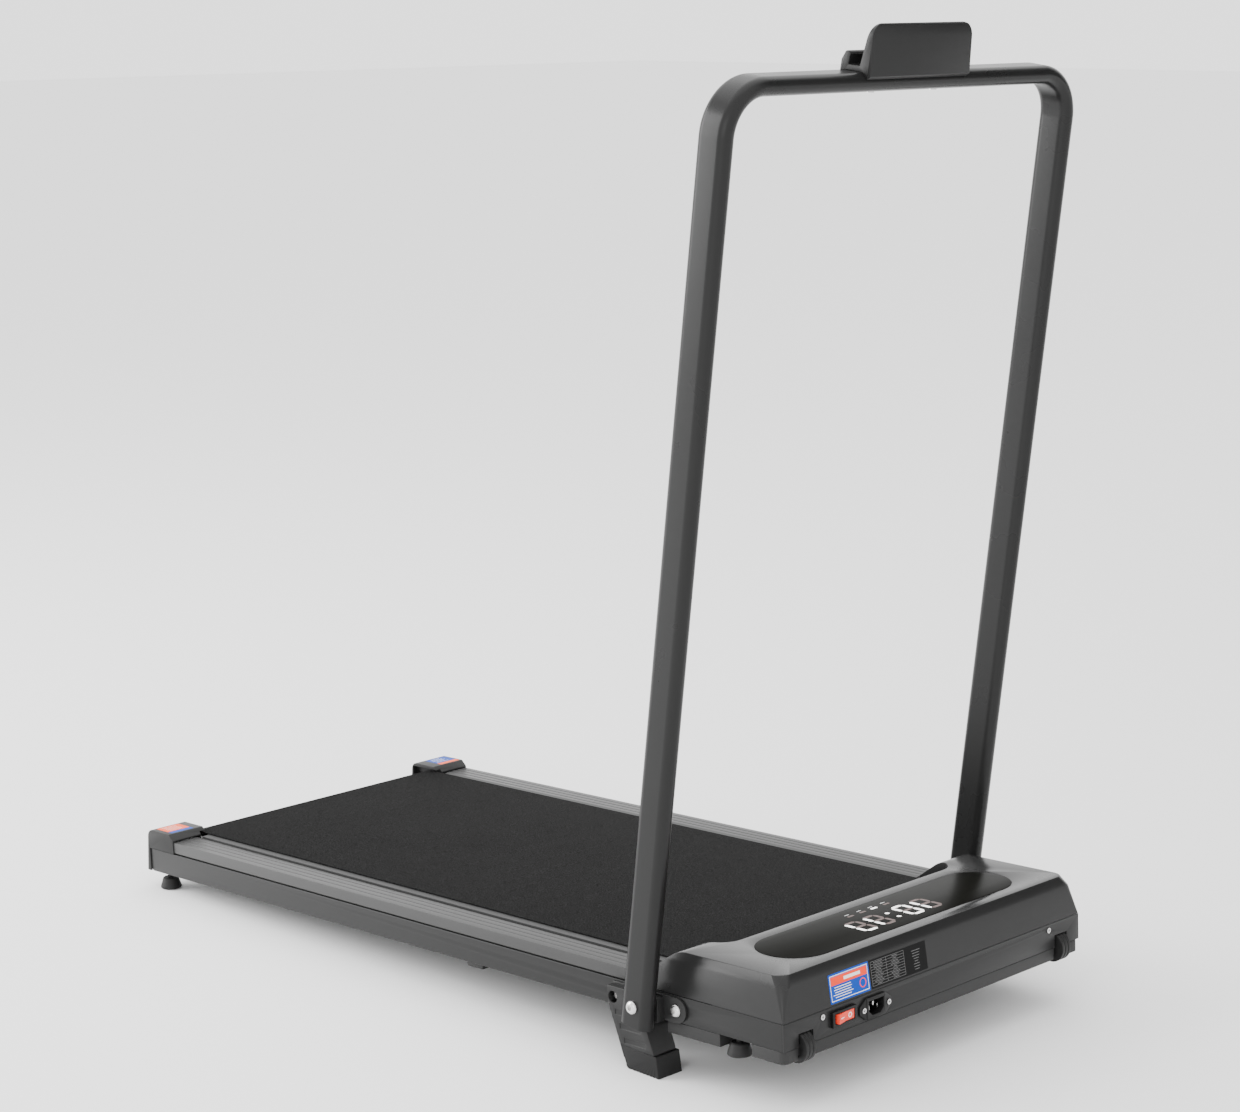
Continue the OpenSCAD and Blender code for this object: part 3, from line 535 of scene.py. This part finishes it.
def ring_quads(cx, cy, outer, inner, steps=32):
    """A flat ring as short quads."""
    def at(r, i):
        turn = 2 * math.pi * i / steps
        return (cx + r * math.cos(turn), cy + r * math.sin(turn))
    return [[at(inner, i), at(outer, i), at(outer, i + 1), at(inner, i + 1)] for i in range(steps)]


print("plate helpers ready")

# %% [markdown]
# ## The display
# Seven-segment digits shine through the black lens, some segments lit and the rest dark brown. The walker
# reads them facing the motor end, so they read towards -X and their tops point towards -Y. A digit's seven
# segments are one long hexagon, placed seven times.

# %% Display digits
DIGIT_W, DIGIT_H, SEGMENT_W = 17.0, 33.0, 4.6
LIT_PARTS = {"0": "abcdef", "1": "bc", "7": "abc"}
SEGMENTS = {"a": (0, 1, 0), "b": (0.5, 0.5, 90), "c": (0.5, -0.5, 90), "d": (0, -1, 0),
            "e": (-0.5, -0.5, 90), "f": (-0.5, 0.5, 90), "g": (0, 0, 0)}
READING = [("1", 54.5), ("0", 24.0), ("1", -24.5), ("7", -54.5)]
LENS_TOP = 75.9
DISPLAY_Y = 62.5
DISPLAY = DECK @ Matrix.Translation((0, DISPLAY_Y * MM, LENS_TOP * MM)) @ Matrix.Rotation(math.pi, 4, "Z")


def segment(cx, cy, length, turned):
    """A long hexagon, lying across or standing."""
    tip, half, wide = length / 2 - 0.5, length / 2 - 0.5 - SEGMENT_W / 2, SEGMENT_W / 2
    outline = [(-tip, 0), (-half, -wide), (half, -wide), (tip, 0), (half, wide), (-half, wide)]
    if turned:
        outline = [(-y, x) for x, y in outline]
    return [(cx + x, cy + y) for x, y in outline]


lit, unlit = [], []
for digit, centre_x in READING:
    for name, (across, up, turned) in SEGMENTS.items():
        length = DIGIT_H / 2 if turned else DIGIT_W
        middle = (-centre_x + across * DIGIT_W, up * DIGIT_H / 2)
        shape = segment(middle[0], middle[1], length, turned)
        (lit if name in LIT_PARTS[digit] else unlit).append(shape)
for dot_y in (-8.5, 8.5):
    lit.append([(x + 1.0, y) for x, y in round_corners(-2.6, dot_y - 2.6, 2.6, dot_y + 2.6, 2.5)])
MARK_X = (-34, -14, 5, 26)
LIT_MARK = 5
for mark_x in MARK_X:
    bar = round_corners(-mark_x - 5, -34.5, -mark_x + 5, -31, 1.0)
    (lit if mark_x == LIT_MARK else unlit).append(bar)
plates("display_lit_segments", lit, -0.01, 0.05, DISPLAY, PRINT["lit"])
plates("display_unlit_segments", unlit, -0.01, 0.03, DISPLAY, PRINT["unlit"])
print("segments lit and unlit:", len(lit), len(unlit))

# %% [markdown]
# ## Rows of small marks
# Lines of small print, the cross recesses of screws and the ticks over the display's indicators are all
# the same small bar, repeated. A second Geometry Nodes tree sets a bar on every point that it is given, and
# a seeded random factor shortens some of them, so that rows look like print without being letters.

# %% Marks tree
def build_marks_tree():
    tree, given, out = new_tree("rows_of_marks", [("Bar Size", "Vector"), ("Shortest", "Float"),
                                                  ("Seed", "Int"), ("Material", "Material")])
    bar = add(tree, "GeometryNodeMeshCube", {"Size": given.outputs["Bar Size"]})
    share = add(tree, "FunctionNodeRandomValue", {"Min": given.outputs["Shortest"], "Max": 1.0,
                                                  "Seed": given.outputs["Seed"]}, data_type="FLOAT")
    factor = next(socket for socket in share.outputs if socket.enabled)
    scale = add(tree, "ShaderNodeCombineXYZ", {"X": factor, "Y": 1.0, "Z": 1.0})
    placed = add(tree, "GeometryNodeInstanceOnPoints", {"Points": given.outputs["Geometry"],
                                                        "Instance": bar.outputs["Mesh"],
                                                        "Scale": scale.outputs["Vector"]})
    return close_tree(tree, given, out, placed.outputs["Instances"])


MARKS = build_marks_tree()


def marks(name, points, size, place, material, shortest=1.0, seed=3, body="deck"):
    """Bars of one size (millimetres) centred on 2D or 3D points, laid with a matrix."""
    base = bpy.data.meshes.new(name + "_points")
    base.from_pydata([Vector((*point, 0)[:3]) * MM for point in points], [], [])
    made = grow(name, base, MARKS, {"Bar Size": Vector(size) * MM, "Shortest": shortest, "Seed": seed,
                                    "Material": material})
    made.data.transform(place)
    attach(made, body)
    return made


TICK_ROW, TICK_SIZE = -38.5, (7.5, 1.0, 0.08)
ticks = marks("indicator_ticks", [(-x, TICK_ROW) for x in MARK_X], TICK_SIZE, DISPLAY, PRINT["white"], 0.6)
print("marks tree made", len(ticks.data.polygons), "faces for the ticks")

# %% [markdown]
# ## The labels on the hood's front
# Two vinyl labels sit side by side on the hood's sloping front face: a blue one with a red heading, and a
# black one with a ruled table. Their print is rows of bars, so nothing can be read. The face's slope comes
# from the two heights between which it leans back.

# %% Hood labels
FACE_FOOT, FACE_HEAD = Vector((0, 0, 30.0)), Vector((0, 4.5, 64.5))
face_up = (FACE_HEAD - FACE_FOOT).normalized()
face_out = Vector((1, 0, 0)).cross(face_up)
FACE = DECK @ Matrix.Translation(FACE_FOOT * MM) @ Matrix(
    ((1, 0, face_out.x, 0), (0, face_up.y, face_out.y, 0), (0, face_up.z, face_out.z, 0), (0, 0, 0, 1)))
VINYL = 0.14
INK = VINYL + 0.04

BLUE = (-176.0, 2.0, -112.5, 33.0)
RULED = (-111.0, 2.0, -18.5, 33.0)
plates("notice_label", [round_corners(*BLUE, 1.2)], -0.02, VINYL, FACE, PRINT["blue"])
plates("notice_frame", frame_strips(BLUE[0] + 2, BLUE[1] + 2, BLUE[2] - 2, BLUE[3] - 2, 0.7), VINYL - 0.02,
       INK, FACE, PRINT["white"])
plates("notice_heading", [round_corners(BLUE[0] + 3.4, BLUE[3] - 12.5, BLUE[2] - 3.4, BLUE[3] - 3.4, 0.4)],
       VINYL - 0.02, INK, FACE, PRINT["red"])
marks("notice_heading_bar", [((BLUE[0] + BLUE[2]) / 2 + 5, BLUE[3] - 8)], (26, 3.4, 0.1),
      FACE @ Matrix.Translation((0, 0, INK * MM)), PRINT["white"])
notice_rows = [(BLUE[0] + 21, BLUE[1] + 5.5 + 2.6 * i) for i in range(5)]
marks("notice_print", notice_rows, (31, 0.8, 0.08), FACE @ Matrix.Translation((0, 0, VINYL * MM)),
      PRINT["white"], 0.6, 5)
plates("notice_ring", ring_quads(BLUE[2] - 11, BLUE[1] + 11, 5.2, 4.2), VINYL - 0.02, INK, FACE, PRINT["red"])

plates("rating_label", [round_corners(*RULED, 0.8)], -0.02, VINYL, FACE, PRINT["black"])
split_x = RULED[0] + 56
table_rows = [RULED[1] + 2.4 + 2.9 * i for i in range(10)]
rules = [[(RULED[0] + 2, y), (split_x, y), (split_x, y + 0.35), (RULED[0] + 2, y + 0.35)] for y in table_rows]
rules += [[(x, table_rows[0]), (x + 0.35, table_rows[0]), (x + 0.35, table_rows[-1]), (x, table_rows[-1])]
          for x in (RULED[0] + 2, RULED[0] + 27, split_x)]
plates("rating_rules", rules, VINYL - 0.02, INK, FACE, PRINT["grey"])
cells = [(x, y + 1.6) for y in table_rows[:-1] for x in (RULED[0] + 14, RULED[0] + 41)]
cells += [(RULED[2] - 17, y + 1.6) for y in table_rows[:-2]]
marks("rating_print", cells, (15, 0.55, 0.08), FACE @ Matrix.Translation((0, 0, VINYL * MM)),
      PRINT["grey"], 0.35, 8)
print("labels made: blue notice and ruled table")

# %% [markdown]
# ## Stickers on the rear caps
# Each rear cap carries a bright sticker with a strip of the other colour along its front edge. They are
# thin plates on the cap's flat top, mirrored in colour from one side to the other.

# %% Cap stickers
CAP_TOP = 54.8
CAP_FACE = DECK @ Matrix.Translation((0, 0, CAP_TOP * MM))
STICKER_BACK, STICKER_LIP = -0.02, 0.12
CAP_STICKERS = [
    ("cap_sticker_left", (-244, 1074.5, -210, 1100), 0.8, "orange"),
    ("cap_strip_left", (-244, 1066, -210, 1074.2), 0.5, "blue"),
    ("cap_sticker_right", (214, 1074.5, 248, 1100), 0.8, "blue"),
    ("cap_strip_right", (214, 1066, 248, 1074.2), 0.5, "orange"),
]
for name, corners, corner_radius, ink in CAP_STICKERS:
    plates(name, [round_corners(*corners, corner_radius)], STICKER_BACK, STICKER_LIP, CAP_FACE, PRINT[ink])
for side in (-1, 1):
    rows = [(side * 228, 1079 + 4.2 * i) for i in range(5)]
    marks("cap_print_" + ("left" if side < 0 else "right"), rows, (24, 0.8, 0.08),
          CAP_FACE @ Matrix.Translation((0, 0, STICKER_LIP * MM)), PRINT["white"], 0.5, 11 + side)
print("cap stickers made")

# %% [markdown]
# ## Marks on the rocker and crosses in the screws
# A rocker switch shows a bar for on and a ring for off, moulded into its two halves, so they turn with it.
# The panel's screws have a cross recess, whose shade is painted as two dark bars on each head, laid by the
# marks tree.

# %% Rocker marks and screw crosses
ROCKER_AT = Vector((-159.0, 6.0, 16.0))
ROCKER_TURN, HALF_SLOPE = math.radians(7), math.atan2(1.4, 13.6)
HALF_CENTRE, HALF_FACE = 6.8, -10.5


def rocker_half(side):
    """The face of one half of the rocker, with X along it and Z out of it."""
    return (DECK @ Matrix.Translation(ROCKER_AT * MM) @ Matrix.Rotation(ROCKER_TURN, 4, "Z")
            @ Matrix.Translation((side * HALF_CENTRE * MM, HALF_FACE * MM, 0))
            @ Matrix.Rotation(-side * HALF_SLOPE, 4, "Z") @ UPRIGHT)


plates("rocker_on_bar", [[(-3, -0.6), (3, -0.6), (3, 0.6), (-3, 0.6)]], -0.05, 0.08, rocker_half(-1),
       PRINT["white"], "switch_rocker")
plates("rocker_off_ring", ring_quads(0, 0, 2.9, 1.9, 24), -0.05, 0.08, rocker_half(1), PRINT["white"],
       "switch_rocker")
PANEL_HEADS = [(-191, -1.6, 23), (193, -1.6, 23)]
INLET_HEADS = [(-128, -3.8, 13.6), (-88, -3.8, 13.6)]
# Painted shade: black bars stand in for the shade inside each screw's cross recess.
for name, size in (("screw_cross_shade_level", (3.4, 0.12, 0.7)), ("screw_cross_shade_upright", (0.7, 0.12, 3.4))):
    marks(name, PANEL_HEADS + INLET_HEADS, size, DECK, PRINT["black"])
print("rocker marks and screw crosses made")

# %% [markdown]
# ## Floor and light
# A pale floor under a soft overhead light, a large soft box behind and to the left that draws the bright
# lines along the tube and the hood, and a black card to the right, outside the view, which gives the paint
# something dark to reflect so that its edges read. The card itself is hidden from the camera.

# %% Stage
def sheet_plane(name, size, place, material):
    mesh = bpy.data.meshes.new(name)
    half = size / 2
    corners = [(-half, -half, 0), (half, -half, 0), (half, half, 0), (-half, half, 0)]
    mesh.from_pydata(corners, [], [(0, 1, 2, 3)])
    mesh.transform(place)
    mesh.materials.append(material)
    made = new_object(name, mesh)
    return made


def soft_box(name, at, size, watts, aim=(0, 0, 0.35)):
    light = bpy.data.lights.new(name, "AREA")
    light.shape = "RECTANGLE"
    light.size, light.size_y = size
    light.energy = watts
    made = new_object(name, light)
    made.location = at
    made.rotation_euler = (Vector(aim) - Vector(at)).to_track_quat("-Z", "Y").to_euler()
    return made


sheet_plane("studio_floor", 60, Matrix.Identity(4), finish("pale_floor", grey(0.9), 0.9, 0, 3, 0.001, 0.0))
card_at = Vector((2.6, -1.9, 1.9))
card_turn = (-card_at).to_track_quat("-Z", "Y").to_matrix().to_4x4()
card = sheet_plane("black_card", 2.6, Matrix.Translation(card_at) @ card_turn,
                   finish("card_black", grey(0.004), 0.9, 0, 3, 0.001, 0.0))
card.visible_camera = False
soft_box("overhead", (0.3, 0.2, 3.6), (4.0, 4.0), 60)
soft_box("left_back_box", (-2.6, 3.0, 1.9), (2.4, 3.0), 230)
soft_box("front_left_fill", (-3.6, -2.4, 1.6), (2.5, 2.0), 30)
world = bpy.data.worlds.new("studio")
world.use_nodes = True
world.node_tree.nodes["Background"].inputs["Color"].default_value = (1, 1, 1, 1)
world.node_tree.nodes["Background"].inputs["Strength"].default_value = 2.1
bpy.context.scene.world = world
print("stage: floor, card and soft boxes")

# %% [markdown]
# ## The camera
# The viewpoint is a little above the deck, beyond the motor end's left corner, with a long lens. It is
# given in the deck's axes as a heading, a height angle and a roll, and turned into the frame with them.

# %% Camera
HEADING, RISE, ROLL = math.radians(-44.114), math.radians(9.483), math.radians(-2.266)
CAMERA_AT = Vector((-2286.0, -1887.9, 984.8))
LENS, SENSOR = 82.3, 36.0
right = Vector((math.cos(HEADING), math.sin(HEADING), 0))
back = Vector((math.sin(HEADING) * math.cos(RISE), -math.cos(HEADING) * math.cos(RISE), math.sin(RISE)))
up = back.cross(right)
rolled_right = math.cos(ROLL) * right + math.sin(ROLL) * up
rolled_up = math.cos(ROLL) * up - math.sin(ROLL) * right
turn = Matrix((rolled_right, rolled_up, back)).transposed().to_4x4()
lens_data = bpy.data.cameras.new("view")
lens_data.lens, lens_data.sensor_width = LENS, SENSOR
lens_data.dof.use_dof = False
camera = new_object("view", lens_data)
camera.matrix_world = DECK @ Matrix.Translation(CAMERA_AT * MM) @ turn
bpy.context.scene.camera = camera
print("camera at (m):", [round(v, 3) for v in camera.location])
